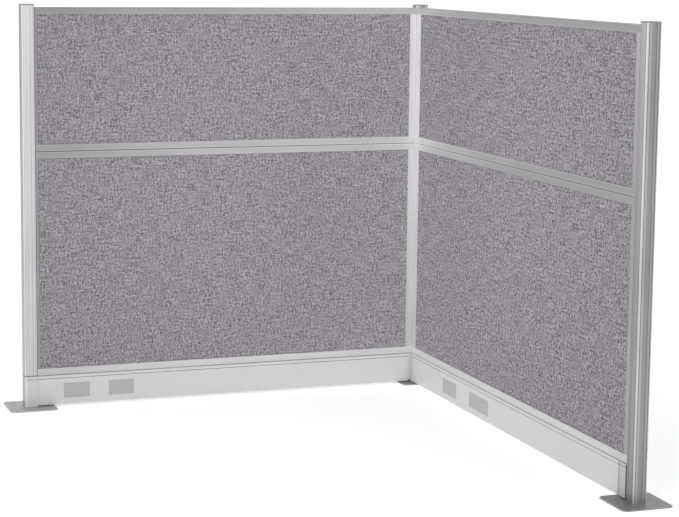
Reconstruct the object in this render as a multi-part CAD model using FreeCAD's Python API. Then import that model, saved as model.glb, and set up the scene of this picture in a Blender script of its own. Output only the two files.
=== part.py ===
import FreeCAD, Part
import math
import os

# A corner partition for a cubicle workstation: two fabric panels meet three posts in an L.
# Sizes are in millimetres, Z is up and the floor is at zero height.
# The corner post stands on the origin. The left run goes from it along -X to its end post,
# the right run along -Y, and the workstation lies between them, on the -X and -Y side.

# Overall sizes
OVERALL_HEIGHT = 1524.0
LEFT_RUN_WIDTH = 1524.0
RIGHT_RUN_WIDTH = 1829.0

# Posts
POST_SIDE = 50.0
POST_CORNER_RADIUS = 6.0
POST_LINE_FROM_EDGE = 7.2
POST_LINE_HALF_WIDTH = 0.8
POST_LINE_DEPTH = 1.0
POST_RISE = 8.0
SLOT_MOUTH = 18.0
SLOT_WIDTH = 26.0
SLOT_LIP = 3.0
SLOT_DEPTH = 8.0
SLOT_WALL = 2.5

# Strips that close the open slots
STRIP_CLEARANCE = 0.4
STRIP_RECESS = 0.6
STRIP_FLANGE = 2.0
STRIP_EDGE_RADIUS = 1.0

# Caps on the posts
CAP_THICKNESS = 4.0
CAP_CHAMFER = 1.2
CAP_PLUG_LENGTH = 14.0
PLUG_CLEARANCE = 0.2

# Feet
FOOT_THICKNESS = 4.8
END_FOOT_SIDE = 178.0
CORNER_FOOT_SIDE = 152.0
FOOT_CORNER_CUT = 12.0
SPIGOT_HEIGHT = 60.0
SPIGOT_WALL = 3.0

# Screws that hold each post on its spigot
SCREW_HEIGHT = 32.0
SCREW_HEAD_RADIUS = 4.0
SCREW_HEAD_THICKNESS = 2.2
SCREW_SHANK_RADIUS = 2.2
SCREW_CLEARANCE = 0.05
SCREW_DRIVE_RADIUS = 1.4
SCREW_DRIVE_DEPTH = 1.2

# Panel frames
FRAME_DEPTH = 46.0
RAIL_FACE = 25.4
LEFT_CORNER_STILE_FACE = 25.4
LEFT_END_STILE_FACE = 9.0
RIGHT_CORNER_STILE_FACE = 34.0
RIGHT_END_STILE_FACE = 22.0
LIP_HEIGHT = 6.0
LIP_THICKNESS = 2.4
LIP_STEP = 0.6
FRAME_WALL = 1.8
FRAME_EDGE_RADIUS = 1.0
LIP_EDGE_RADIUS = 0.5
RAIL_LINE_HEIGHT = 9.0
RAIL_LINE_HALF_WIDTH = 0.6
RAIL_LINE_DEPTH = 0.5
TENON_CLEARANCE = 0.2
TONGUE_CLEARANCE = 0.4
TONGUE_LENGTH = 2.6

# Stacked frames
LOWER_FRAME_HEIGHT = 851.4
FRAME_GROOVE = 1.6
SEAL_RECESS = 8.0

# Fabric tiles and the board between them
TILE_LAP = 5.0
TILE_CLEARANCE = 0.3
TILE_SEAT_GAP = 0.2
TILE_EDGE_RADIUS = 2.0
CORE_THICKNESS = 16.0

# Raceway along the floor
RACEWAY_FLOOR_GAP = 9.0
RACEWAY_HEIGHT = 112.0
RACEWAY_DEPTH = 54.0
RACEWAY_JOINT_GAP = 2.4
SPINE_WEB = 3.0
SPINE_TOP_FLANGE_DEPTH = 40.0
SPINE_TOP_FLANGE = 4.0
SPINE_BOTTOM_FLANGE_DEPTH = 44.0
SPINE_BOTTOM_FLANGE = 3.0
SPINE_FLOOR_STEP = 2.0

# Snap-off covers of the raceway
COVER_THICKNESS = 2.0
SNAP_STRIP = 2.0
SNAP_STRIP_GRIP = 10.0
SNAP_STRIP_RADIUS = 0.8
COVER_KICK_HEIGHT = 9.0
COVER_FACE_RECESS = 0.5
COVER_GROOVE_DEPTH = 1.0
COVER_GROOVE_WIDTH = 2.2
COVER_LIP_HEIGHT = 10.8
COVER_LIP_RADIUS = 1.2
COVER_END_GAP = 0.3
INSIDE_CORNER_SETBACK = 14.0
FILLER_RECESS = 3.0

# Fixed end pieces of the raceway
END_PIECE_LENGTH = 48.0
END_PIECE_RECESS = 0.5
END_PIECE_GAP = 0.3
POST_COVER_GAP = 0.2

# Outlet plates: their middles are given from the post faces, their rise from the raceway's bottom
OUTLET_WIDTH = 99.0
WIDE_OUTLET_WIDTH = 131.0
WIDEST_OUTLET_WIDTH = 176.0
OUTLET_HEIGHT = 57.0
OUTLET_RISE = 23.3
LEFT_OUTLET_FROM_END = 149.0
LEFT_OUTLET_SPACING = 174.0
RIGHT_OUTLET_FROM_CORNER = 400.0
RIGHT_OUTLET_SPACING = 276.0
OUTLET_CORNER_RADIUS = 1.5
OUTLET_GAP = 0.3
OUTLET_SKIRT_INSET = 3.5
OUTLET_SKIRT_WALL = 1.5

# Socket blocks behind the outlet plates
SOCKET_INSET = 6.5
SOCKET_HEIGHT = 44.0
SOCKET_FACE = 19.0
SOCKET_SPACING = 38.0
SOCKET_SLOT_SPACING = 12.7
SOCKET_SLOT_WIDTH = 2.0
SOCKET_SLOT_HEIGHT = 8.0
SOCKET_EARTH_RADIUS = 2.4
SOCKET_EARTH_DROP = 11.0
SOCKET_HOLE_DEPTH = 8.0

# One overrun serves every cut, and places closer than this are one place
OVERRUN = 1.0
SAME_PLACE = 0.001

# Heights worked out from the sizes above
RACEWAY_BOTTOM = RACEWAY_FLOOR_GAP
RACEWAY_TOP = RACEWAY_BOTTOM + RACEWAY_HEIGHT
LOWER_FRAME_BOTTOM = RACEWAY_TOP + RACEWAY_JOINT_GAP
LOWER_FRAME_TOP = LOWER_FRAME_BOTTOM + LOWER_FRAME_HEIGHT
UPPER_FRAME_BOTTOM = LOWER_FRAME_TOP + FRAME_GROOVE
POST_TOP = OVERALL_HEIGHT - CAP_THICKNESS
UPPER_FRAME_TOP = POST_TOP - POST_RISE

# Depths worked out from the sizes above
POST_HALF = POST_SIDE / 2
POST_VOID_HALF = POST_HALF - SLOT_DEPTH - SLOT_WALL
FRAME_HALF = FRAME_DEPTH / 2
LIP_FACE = FRAME_HALF - LIP_STEP
LIP_BACK = LIP_FACE - LIP_THICKNESS
RAIL_BASE = RAIL_FACE - LIP_HEIGHT
CORE_HALF = CORE_THICKNESS / 2
COVER_FACE = RACEWAY_DEPTH / 2
COVER_BACK = COVER_FACE - COVER_THICKNESS
SPINE_TOP = LOWER_FRAME_BOTTOM
SPINE_TOP_UNDERSIDE = SPINE_TOP - SPINE_TOP_FLANGE
SPINE_BOTTOM = RACEWAY_BOTTOM + SPINE_FLOOR_STEP
SPINE_BOTTOM_TOPSIDE = SPINE_BOTTOM + SPINE_BOTTOM_FLANGE
STRIP_END = SPINE_TOP_FLANGE_DEPTH / 2 - SNAP_STRIP_GRIP
OUTLET_MIDDLE = RACEWAY_BOTTOM + OUTLET_RISE + OUTLET_HEIGHT / 2

UP = FreeCAD.Vector(0, 0, 1)
FRONT = 1
BACK = -1
QUARTER_TURN = 90


class Run:
    """One straight run of the partition between the corner post and an end post.

    Places on it are given along the run from the corner post's face, across it from its
    middle plane towards the workstation, and up from the floor. Each outlet is (middle, width).
    """

    def __init__(self, name, width, stile_faces, along, across, outlets):
        self.name = name
        self.width = width
        self.corner_stile_face, self.end_stile_face = stile_faces
        self.along = FreeCAD.Vector(*along)
        self.across = FreeCAD.Vector(*across)
        self.outlets = outlets

    def point(self, along, across, up):
        return self.along * (POST_HALF + along) + self.across * across + UP * up

    def bar(self, section, start, end):
        """Prism along the run: the section's corners are (across, up) or (across, up, radius)."""
        corners = [(self.point(start, corner[0], corner[1]), radius_of(corner)) for corner in section]
        return prism(corners, self.along * (end - start))

    def column(self, section, low, high):
        """Upright prism: the section's corners are (along, across) or (along, across, radius)."""
        corners = [(self.point(corner[0], corner[1], low), radius_of(corner)) for corner in section]
        return prism(corners, UP * (high - low))

    def block(self, along, across, up):
        """Box between three pairs of limits."""
        return self.column(rectangle(along, across), *up)

    def end_post_axis(self):
        return self.along * (POST_SIDE + self.width)


def radius_of(corner):
    return corner[2] if len(corner) > 2 else 0


def rectangle(first, second):
    return [(first[0], second[0]), (first[1], second[0]), (first[1], second[1]), (first[0], second[1])]


def rounded_wire(corners):
    """Closed wire through (place, radius) corners, with an arc wherever the radius isn't zero."""
    stretches = []
    count = len(corners)
    for index, (corner, radius) in enumerate(corners):
        before = (corners[index - 1][0] - corner).normalize()
        after = (corners[(index + 1) % count][0] - corner).normalize()
        if radius > 0:
            half_angle = before.getAngle(after) / 2
            setback = radius / math.tan(half_angle)
            inward = (before + after).normalize()
            middle = corner + inward * (radius / math.sin(half_angle) - radius)
            stretches.append((corner + before * setback, middle, corner + after * setback))
        else:
            stretches.append((corner, None, corner))
    edges = []
    for index, (start, middle, end) in enumerate(stretches):
        if middle is not None:
            edges.append(Part.Arc(start, middle, end).toShape())
        next_start = stretches[(index + 1) % count][0]
        if not end.isEqual(next_start, SAME_PLACE):
            edges.append(Part.LineSegment(end, next_start).toShape())
    return Part.Wire(edges)


def prism(corners, direction):
    return Part.Face(rounded_wire(corners)).extrude(direction)


def turned(shape, quarters, axis_place):
    """Copy of a shape made on the origin's axis, turned by quarters and moved to a post."""
    copy = shape.copy()
    copy.rotate(FreeCAD.Vector(0, 0, 0), UP, quarters * QUARTER_TURN)
    copy.translate(axis_place)
    return copy


def square_section(half, radius):
    """Corners of a square about the origin, as (place, radius)."""
    signs = [(-1, -1), (1, -1), (1, 1), (-1, 1)]
    return [(FreeCAD.Vector(half * x, half * y, 0), radius) for x, y in signs]


def plain_box(x, y, z):
    """Box between pairs of limits in X, Y and Z."""
    corners = [(FreeCAD.Vector(a, b, z[0]), 0) for a, b in rectangle(x, y)]
    return prism(corners, UP * (z[1] - z[0]))


def post(axis_place):
    """Slotted square extrusion with a square void and a line beside each rounded corner."""
    height = POST_TOP - FOOT_THICKNESS
    body = prism(square_section(POST_HALF, POST_CORNER_RADIUS), UP * height)
    void = prism(square_section(POST_VOID_HALF, 0), UP * height)
    body = body.cut(void)
    mouth = plain_box((POST_HALF - SLOT_LIP - OVERRUN, POST_HALF + OVERRUN),
                      (-SLOT_MOUTH / 2, SLOT_MOUTH / 2), (-OVERRUN, height + OVERRUN))
    pocket = plain_box((POST_HALF - SLOT_DEPTH, POST_HALF - SLOT_LIP),
                       (-SLOT_WIDTH / 2, SLOT_WIDTH / 2), (-OVERRUN, height + OVERRUN))
    hole = Part.makeCylinder(SCREW_SHANK_RADIUS + SCREW_CLEARANCE, POST_HALF,
                             FreeCAD.Vector(0, 0, SCREW_HEIGHT - FOOT_THICKNESS), FreeCAD.Vector(1, 0, 0))
    cutters = [mouth, pocket, hole]
    for line in (POST_LINE_FROM_EDGE - POST_HALF, POST_HALF - POST_LINE_FROM_EDGE):
        cutters.append(plain_box((POST_HALF - POST_LINE_DEPTH, POST_HALF + OVERRUN),
                                 (line - POST_LINE_HALF_WIDTH, line + POST_LINE_HALF_WIDTH),
                                 (-OVERRUN, height + OVERRUN)))
    origin = FreeCAD.Vector(0, 0, 0)
    for quarters in range(4):
        for cutter in cutters:
            body = body.cut(turned(cutter, quarters, origin))
    body.translate(axis_place + UP * FOOT_THICKNESS)
    return body


def slot_strip(quarters, axis_place):
    """T-shaped strip that closes one open slot of a post."""
    mouth_half = SLOT_MOUTH / 2 - STRIP_CLEARANCE
    flange_half = SLOT_WIDTH / 2 - STRIP_CLEARANCE
    face = POST_HALF - STRIP_RECESS
    lip = POST_HALF - SLOT_LIP
    back = lip - STRIP_FLANGE
    outline = [
        (face, -mouth_half, STRIP_EDGE_RADIUS), (face, mouth_half, STRIP_EDGE_RADIUS),
        (lip, mouth_half, 0), (lip, flange_half, 0),
        (back, flange_half, 0), (back, -flange_half, 0),
        (lip, -flange_half, 0), (lip, -mouth_half, 0),
    ]
    corners = [(FreeCAD.Vector(x, y, FOOT_THICKNESS), radius) for x, y, radius in outline]
    return turned(prism(corners, UP * (POST_TOP - FOOT_THICKNESS)), quarters, axis_place)


def cap(axis_place):
    """Cap with a plug that goes into the post's void."""
    plate = prism(square_section(POST_HALF, POST_CORNER_RADIUS), UP * CAP_THICKNESS)
    top_edges = [edge for edge in plate.Edges if edge.BoundBox.ZMin > CAP_THICKNESS / 2]
    plate = plate.makeChamfer(CAP_CHAMFER, top_edges)
    plug = prism(square_section(POST_VOID_HALF - PLUG_CLEARANCE, 0), UP * -CAP_PLUG_LENGTH)
    whole = plate.fuse(plug)
    whole.translate(axis_place + UP * POST_TOP)
    return whole


def foot(side, axis_place):
    """Floor plate with cut corners and a hollow spigot for the post's void."""
    half = side / 2
    short = half - FOOT_CORNER_CUT
    outline = [
        (-short, -half), (short, -half), (half, -short), (half, short),
        (short, half), (-short, half), (-half, short), (-half, -short),
    ]
    plate = prism([(FreeCAD.Vector(x, y, 0), 0) for x, y in outline], UP * FOOT_THICKNESS)
    spigot_half = POST_VOID_HALF - PLUG_CLEARANCE
    spigot = prism(square_section(spigot_half, 0), UP * SPIGOT_HEIGHT)
    hollow = prism(square_section(spigot_half - SPIGOT_WALL, 0), UP * SPIGOT_HEIGHT)
    hollow.translate(UP * FOOT_THICKNESS)
    whole = plate.fuse(spigot).removeSplitter().cut(hollow)
    hole = Part.makeCylinder(SCREW_SHANK_RADIUS + SCREW_CLEARANCE, POST_HALF,
                             FreeCAD.Vector(0, 0, SCREW_HEIGHT), FreeCAD.Vector(1, 0, 0))
    origin = FreeCAD.Vector(0, 0, 0)
    for quarters in range(4):
        whole = whole.cut(turned(hole, quarters, origin))
    whole.translate(axis_place)
    return whole


def post_screw(quarters, axis_place):
    """Pan-head screw from the bottom of a slot through the post's wall into the spigot."""
    slot_floor = POST_HALF - SLOT_DEPTH
    inner_end = POST_VOID_HALF - PLUG_CLEARANCE - SPIGOT_WALL
    outward = FreeCAD.Vector(1, 0, 0)
    head = Part.makeCylinder(SCREW_HEAD_RADIUS, SCREW_HEAD_THICKNESS,
                             FreeCAD.Vector(slot_floor, 0, SCREW_HEIGHT), outward)
    shank = Part.makeCylinder(SCREW_SHANK_RADIUS, slot_floor - inner_end,
                              FreeCAD.Vector(inner_end, 0, SCREW_HEIGHT), outward)
    drive_start = slot_floor + SCREW_HEAD_THICKNESS - SCREW_DRIVE_DEPTH
    drive = Part.makeCylinder(SCREW_DRIVE_RADIUS, SCREW_DRIVE_DEPTH + OVERRUN,
                              FreeCAD.Vector(drive_start, 0, SCREW_HEIGHT), outward)
    return turned(head.fuse(shank).cut(drive), quarters, axis_place)


def rail(run, edge, inward):
    """Frame rail over the run's whole width; inward is 1 where its lips point up, -1 down."""
    base = edge + inward * RAIL_BASE
    lip = edge + inward * RAIL_FACE
    line = edge + inward * RAIL_LINE_HEIGHT
    line_near = line - inward * RAIL_LINE_HALF_WIDTH
    line_far = line + inward * RAIL_LINE_HALF_WIDTH
    line_floor = FRAME_HALF - RAIL_LINE_DEPTH
    half_outline = [
        (FRAME_HALF, edge, FRAME_EDGE_RADIUS), (FRAME_HALF, line_near, 0), (line_floor, line, 0),
        (FRAME_HALF, line_far, 0), (FRAME_HALF, base, 0), (LIP_FACE, base, 0),
        (LIP_FACE, lip, LIP_EDGE_RADIUS), (LIP_BACK, lip, 0), (LIP_BACK, base, 0),
    ]
    mirrored = [(-across, up, radius) for across, up, radius in reversed(half_outline)]
    hollow_half = FRAME_HALF - FRAME_WALL
    hollow = rectangle((-hollow_half, hollow_half),
                       sorted((edge + inward * FRAME_WALL, base - inward * FRAME_WALL)))
    return run.bar(half_outline + mirrored, 0, run.width).cut(run.bar(hollow, 0, run.width))


def stile(run, post_face, face, inward, bottom, top):
    """Upright frame member between two rails; inward is 1 where its lips point along the run."""
    base = post_face + inward * (face - LIP_HEIGHT)
    lip = post_face + inward * face
    tongue_end = post_face - inward * TONGUE_LENGTH
    tongue_half = SLOT_MOUTH / 2 - TONGUE_CLEARANCE
    half_outline = [
        (tongue_end, tongue_half, 0), (post_face, tongue_half, 0),
        (post_face, FRAME_HALF, FRAME_EDGE_RADIUS), (base, FRAME_HALF, 0), (base, LIP_FACE, 0),
        (lip, LIP_FACE, LIP_EDGE_RADIUS), (lip, LIP_BACK, 0), (base, LIP_BACK, 0),
    ]
    mirrored = [(along, -across, radius) for along, across, radius in reversed(half_outline)]
    body = run.column(half_outline + mirrored, bottom + RAIL_FACE, top - RAIL_FACE)
    tenon_half = LIP_BACK - TENON_CLEARANCE
    base_limits = (bottom + RAIL_BASE, top - RAIL_BASE)
    tenon = run.block(sorted((post_face + inward * TENON_CLEARANCE, base)),
                      (-tenon_half, tenon_half), base_limits)
    hollow_half = tenon_half - FRAME_WALL
    near_wall = post_face + inward * (TENON_CLEARANCE + FRAME_WALL)
    far_wall = base - inward * FRAME_WALL
    body = body.fuse(tenon)
    if (far_wall - near_wall) * inward > FRAME_WALL:
        body = body.cut(run.block(sorted((near_wall, far_wall)), (-hollow_half, hollow_half), base_limits))
    return body


def tile_limits(run, bottom, top):
    """Limits along and up of what the frame's channels hold."""
    start = run.corner_stile_face - TILE_LAP
    end = run.width - (run.end_stile_face - TILE_LAP)
    up_inset = RAIL_FACE - TILE_LAP
    return (start, end), (bottom + up_inset, top - up_inset)


def tile(run, side, bottom, top):
    """Fabric-covered tile behind the lips on one side of a frame."""
    along, up = tile_limits(run, bottom, top)
    back = CORE_HALF + TILE_SEAT_GAP
    face = LIP_BACK - TILE_CLEARANCE
    body = run.block(along, sorted((side * back, side * face)), up)
    face_place = run.point(0, side * face, 0)
    rim = [edge for edge in body.Edges
           if abs((edge.CenterOfMass - face_place).dot(run.across)) < TILE_SEAT_GAP]
    return body.makeFillet(TILE_EDGE_RADIUS, rim)


def core(run, bottom, top):
    """Stiff board between the two tiles of a frame."""
    along, up = tile_limits(run, bottom, top)
    return run.block(along, (-CORE_HALF, CORE_HALF), up)


def frame_seal(run):
    """Strip in the groove between the stacked frames."""
    half = FRAME_HALF - SEAL_RECESS
    return run.block((0, run.width), (-half, half), (LOWER_FRAME_TOP, UPPER_FRAME_BOTTOM))


def spine(run):
    """Beam of the raceway: a web between two flanges, from post to post."""
    web_half = SPINE_WEB / 2
    top_half = SPINE_TOP_FLANGE_DEPTH / 2
    bottom_half = SPINE_BOTTOM_FLANGE_DEPTH / 2
    half_outline = [
        (top_half, SPINE_TOP), (top_half, SPINE_TOP_UNDERSIDE), (web_half, SPINE_TOP_UNDERSIDE),
        (web_half, SPINE_BOTTOM_TOPSIDE), (bottom_half, SPINE_BOTTOM_TOPSIDE), (bottom_half, SPINE_BOTTOM),
    ]
    mirrored = [(-across, up) for across, up in reversed(half_outline)]
    return run.bar(half_outline + mirrored, 0, run.width)


def cover_outline(side, recess, bottom):
    """Section of the raceway's face sheet, with a kick at the bottom and a line under its lip."""
    face = COVER_FACE - recess
    plain = face - COVER_FACE_RECESS
    groove = face - COVER_GROOVE_DEPTH
    kick = RACEWAY_BOTTOM + COVER_KICK_HEIGHT
    lip = RACEWAY_TOP - COVER_LIP_HEIGHT
    outline = [
        (COVER_BACK, bottom, 0), (face, bottom, 0), (face, kick, 0), (plain, kick, 0),
        (plain, lip - COVER_GROOVE_WIDTH, 0), (groove, lip - COVER_GROOVE_WIDTH, 0), (groove, lip, 0),
        (face, lip, 0), (face, RACEWAY_TOP, COVER_LIP_RADIUS), (COVER_BACK, RACEWAY_TOP, 0),
    ]
    return [(side * across, up, radius) for across, up, radius in outline]


def outlet_outline(outlet, grow):
    """Rounded rectangle (along, up) of an outlet plate, grown by a gap on every side."""
    middle, width = outlet
    along_half = width / 2 + grow
    up_half = OUTLET_HEIGHT / 2 + grow
    radius = OUTLET_CORNER_RADIUS + grow
    limits = rectangle((middle - along_half, middle + along_half),
                       (OUTLET_MIDDLE - up_half, OUTLET_MIDDLE + up_half))
    return [(along, up, radius) for along, up in limits]


def face_prism(run, outline, near, far):
    """Prism across the run from a section of (along, up, radius) corners."""
    corners = [(run.point(along, near, up), radius) for along, up, radius in outline]
    return prism(corners, run.across * (far - near))


def snap_strips(run, side, start, end):
    """Two strips on the back of a cover that grip the spine's flanges with their rounded edges."""
    strips = []
    for low in (SPINE_BOTTOM_TOPSIDE, SPINE_TOP_UNDERSIDE - SNAP_STRIP):
        high = low + SNAP_STRIP
        section = [
            (side * STRIP_END, low, SNAP_STRIP_RADIUS), (side * COVER_BACK, low, 0),
            (side * COVER_BACK, high, 0), (side * STRIP_END, high, SNAP_STRIP_RADIUS),
        ]
        strips.append(run.bar(section, start, end))
    return strips


def cover_ends(run, side):
    """Where a snap-off cover starts and ends along its run."""
    start = INSIDE_CORNER_SETBACK if side == FRONT else COVER_END_GAP
    end = run.width - COVER_END_GAP
    if run.name == "right":
        end -= END_PIECE_LENGTH
    return start, end


def cover(run, side):
    """Snap-off raceway cover, with cut-outs for the outlet plates on the front."""
    body = run.bar(cover_outline(side, 0, RACEWAY_BOTTOM), *cover_ends(run, side))
    if side == FRONT:
        for outlet in run.outlets:
            hole = outlet_outline(outlet, OUTLET_GAP)
            body = body.cut(face_prism(run, hole, COVER_BACK - OVERRUN, COVER_FACE + OVERRUN))
    return body


def outlet_plate(run, outlet):
    """Flush plate that snaps into a cover's cut-out, with a skirt behind it."""
    face = COVER_FACE - COVER_FACE_RECESS
    plate = face_prism(run, outlet_outline(outlet, 0), COVER_BACK, face)
    skirt = outlet_outline(outlet, -OUTLET_SKIRT_INSET)
    skirt = [(along, up, 0) for along, up, radius in skirt]
    inside = outlet_outline(outlet, -OUTLET_SKIRT_INSET - OUTLET_SKIRT_WALL)
    inside = [(along, up, 0) for along, up, radius in inside]
    skirt_end = SOCKET_FACE + OUTLET_GAP
    tube = face_prism(run, skirt, skirt_end, COVER_BACK).cut(face_prism(run, inside, skirt_end, COVER_BACK))
    return plate.fuse(tube)


def socket_block(run, outlet):
    """Block on the spine's web with as many sockets side by side as its width takes."""
    middle, plate_width = outlet
    width = plate_width - 2 * SOCKET_INSET
    body = run.block((middle - width / 2, middle + width / 2),
                     (SPINE_WEB / 2, SOCKET_FACE),
                     (OUTLET_MIDDLE - SOCKET_HEIGHT / 2, OUTLET_MIDDLE + SOCKET_HEIGHT / 2))
    floor = SOCKET_FACE - SOCKET_HOLE_DEPTH
    across = (floor, SOCKET_FACE + OVERRUN)
    up = (OUTLET_MIDDLE, OUTLET_MIDDLE + SOCKET_SLOT_HEIGHT)
    count = int(width // SOCKET_SPACING)
    for number in range(count):
        socket_middle = middle + (number - (count - 1) / 2) * SOCKET_SPACING
        for blade in (-SOCKET_SLOT_SPACING / 2, SOCKET_SLOT_SPACING / 2):
            slot_middle = socket_middle + blade
            along = (slot_middle - SOCKET_SLOT_WIDTH / 2, slot_middle + SOCKET_SLOT_WIDTH / 2)
            body = body.cut(run.block(along, across, up))
        earth = Part.makeCylinder(SOCKET_EARTH_RADIUS, SOCKET_HOLE_DEPTH + OVERRUN,
                                  run.point(socket_middle, floor, OUTLET_MIDDLE - SOCKET_EARTH_DROP),
                                  run.across)
        body = body.cut(earth)
    return body


def end_piece(run, side):
    """Fixed piece that closes the raceway next to the right end post."""
    ends = (run.width - END_PIECE_LENGTH, run.width - END_PIECE_GAP)
    sheet = run.bar(cover_outline(side, END_PIECE_RECESS, RACEWAY_BOTTOM), *ends)
    return Part.makeCompound([sheet] + snap_strips(run, side, *ends))


def post_cover(run, side):
    """Fixed piece that carries the raceway's face over the left end post."""
    outline = cover_outline(side, 0, FOOT_THICKNESS + POST_COVER_GAP)
    return run.bar(outline, run.width + POST_COVER_GAP, run.width + POST_SIDE - POST_CORNER_RADIUS)


def corner_filler(run):
    """Block that closes the raceway between a front cover and the inside corner."""
    return run.block((0, INSIDE_CORNER_SETBACK - COVER_END_GAP), (STRIP_END, COVER_FACE - FILLER_RECESS),
                     (SPINE_BOTTOM_TOPSIDE, SPINE_TOP_UNDERSIDE))


def left_outlets():
    first = LEFT_RUN_WIDTH - LEFT_OUTLET_FROM_END
    return [(first, OUTLET_WIDTH), (first - LEFT_OUTLET_SPACING, OUTLET_WIDTH)]


def right_outlets():
    second = RIGHT_OUTLET_FROM_CORNER + RIGHT_OUTLET_SPACING
    return [(RIGHT_OUTLET_FROM_CORNER, WIDE_OUTLET_WIDTH), (second, WIDEST_OUTLET_WIDTH)]


def build_posts(left, right):
    """Posts, caps, feet, slot strips and their screws; open faces are in quarter turns from +X."""
    stations = {
        "left": (left.end_post_axis(), END_FOOT_SIDE, (1, 2, 3)),
        "corner": (FreeCAD.Vector(0, 0, 0), CORNER_FOOT_SIDE, (0, 1)),
        "right": (right.end_post_axis(), END_FOOT_SIDE, (0, 2, 3)),
    }
    nodes = {}
    screws = []
    for name, (place, foot_side, open_faces) in stations.items():
        nodes["post_" + name] = post(place)
        nodes["post_cap_" + name] = cap(place)
        nodes["foot_" + name] = foot(foot_side, place)
        nodes["slot_strips_" + name] = Part.makeCompound([slot_strip(face, place) for face in open_faces])
        screws += [post_screw(face, place) for face in open_faces]
    nodes["post_screws"] = Part.makeCompound(screws)
    return nodes


def build_frames(run):
    """Rails, stiles, tiles and core of the run's two stacked frames."""
    nodes = {}
    levels = {
        "lower": (LOWER_FRAME_BOTTOM, LOWER_FRAME_TOP),
        "upper": (UPPER_FRAME_BOTTOM, UPPER_FRAME_TOP),
    }
    for level, (bottom, top) in levels.items():
        prefix = run.name + "_" + level
        nodes[prefix + "_bottom_rail"] = rail(run, bottom, 1)
        nodes[prefix + "_top_rail"] = rail(run, top, -1)
        nodes[prefix + "_corner_stile"] = stile(run, 0, run.corner_stile_face, 1, bottom, top)
        nodes[prefix + "_end_stile"] = stile(run, run.width, run.end_stile_face, -1, bottom, top)
        nodes[prefix + "_front_tile"] = tile(run, FRONT, bottom, top)
        nodes[prefix + "_back_tile"] = tile(run, BACK, bottom, top)
        nodes[prefix + "_core"] = core(run, bottom, top)
    return nodes


def build_raceway(run):
    """Spine, covers with their snap strips, and outlet plates of the run's raceway."""
    nodes = {run.name + "_raceway_spine": spine(run)}
    for side_name, side in (("front", FRONT), ("back", BACK)):
        prefix = run.name + "_" + side_name + "_cover"
        nodes[prefix] = cover(run, side)
        nodes[prefix + "_strips"] = Part.makeCompound(snap_strips(run, side, *cover_ends(run, side)))
    for number, outlet in enumerate(run.outlets, start=1):
        nodes[run.name + "_outlet_plate_" + str(number)] = outlet_plate(run, outlet)
    return nodes


def build_all():
    left_faces = (LEFT_CORNER_STILE_FACE, LEFT_END_STILE_FACE)
    right_faces = (RIGHT_CORNER_STILE_FACE, RIGHT_END_STILE_FACE)
    left = Run("left", LEFT_RUN_WIDTH, left_faces, (-1, 0, 0), (0, -1, 0), left_outlets())
    right = Run("right", RIGHT_RUN_WIDTH, right_faces, (0, -1, 0), (-1, 0, 0), right_outlets())
    runs = (left, right)
    nodes = build_posts(left, right)
    for run in runs:
        nodes.update(build_frames(run))
        nodes.update(build_raceway(run))
    nodes["frame_seals"] = Part.makeCompound([frame_seal(run) for run in runs])
    nodes["corner_fillers"] = Part.makeCompound([corner_filler(run) for run in runs])
    nodes["socket_blocks"] = Part.makeCompound(
        [socket_block(run, outlet) for run in runs for outlet in run.outlets])
    for side_name, side in (("front", FRONT), ("back", BACK)):
        nodes["left_post_cover_" + side_name] = post_cover(left, side)
        nodes["right_end_piece_" + side_name] = end_piece(right, side)
    return nodes


def main():
    os.makedirs("parts", exist_ok=True)
    nodes = build_all()
    for name, shape in nodes.items():
        shape.exportStep("parts/" + name + ".step")
        print(name, len(shape.Solids), "solids", round(shape.Volume), "mm3", "valid", shape.isValid())
    print(len(nodes), "nodes")


main()
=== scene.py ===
import logging
import math
from dataclasses import dataclass
from enum import Enum

import bmesh
import bpy
from mathutils import Matrix, Vector


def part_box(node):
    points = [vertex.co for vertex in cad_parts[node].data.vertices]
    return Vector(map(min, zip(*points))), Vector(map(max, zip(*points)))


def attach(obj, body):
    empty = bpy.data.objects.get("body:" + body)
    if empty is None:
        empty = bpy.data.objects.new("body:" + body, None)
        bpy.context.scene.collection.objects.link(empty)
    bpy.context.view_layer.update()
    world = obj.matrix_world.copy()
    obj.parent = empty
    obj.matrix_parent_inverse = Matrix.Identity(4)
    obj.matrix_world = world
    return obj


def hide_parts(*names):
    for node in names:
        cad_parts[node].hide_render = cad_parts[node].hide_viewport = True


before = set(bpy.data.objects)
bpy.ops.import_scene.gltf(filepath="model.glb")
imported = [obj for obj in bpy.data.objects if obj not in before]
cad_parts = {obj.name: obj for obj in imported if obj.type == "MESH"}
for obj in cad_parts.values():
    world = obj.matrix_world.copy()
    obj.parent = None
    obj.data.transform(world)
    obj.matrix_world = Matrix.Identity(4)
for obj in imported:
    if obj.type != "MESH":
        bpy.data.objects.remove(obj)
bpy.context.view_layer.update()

LOG = logging.getLogger("cubicle_partition")

Pair = tuple[float, float]
Triple = tuple[float, float, float]
Socket = bpy.types.NodeSocket

PARTITION = "partition"
MILLIMETRE = 0.001
WHITE = (1.0, 1.0, 1.0, 1.0)
NOISE_SPAN = (0.3, 0.7)      # nearly all values of a noise lie between these
NOISE_MIDDLE = 0.5
LINE_EDGE = (0.7, 1.3)       # where a drawn line's edge fades, in half widths
MIX_COLOURS = (6, 7)         # a Mix node's colour inputs
MIX_RESULT = 2


class Lie(Enum):
    """Direction in which a bar was drawn, brushed or woven."""

    ALONG_X = "X"
    ALONG_Y = "Y"
    UPRIGHT = "Z"


class Run(Enum):
    """The two runs of the partition, as seen from the workstation."""

    LEFT = "left"
    RIGHT = "right"

    @property
    def lie(self) -> Lie:
        """Return the axis along which the run lies."""
        return Lie.ALONG_X if self is Run.LEFT else Lie.ALONG_Y


class Level(Enum):
    """The two frames that are stacked in a run."""

    LOWER = "lower"
    UPPER = "upper"


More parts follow.
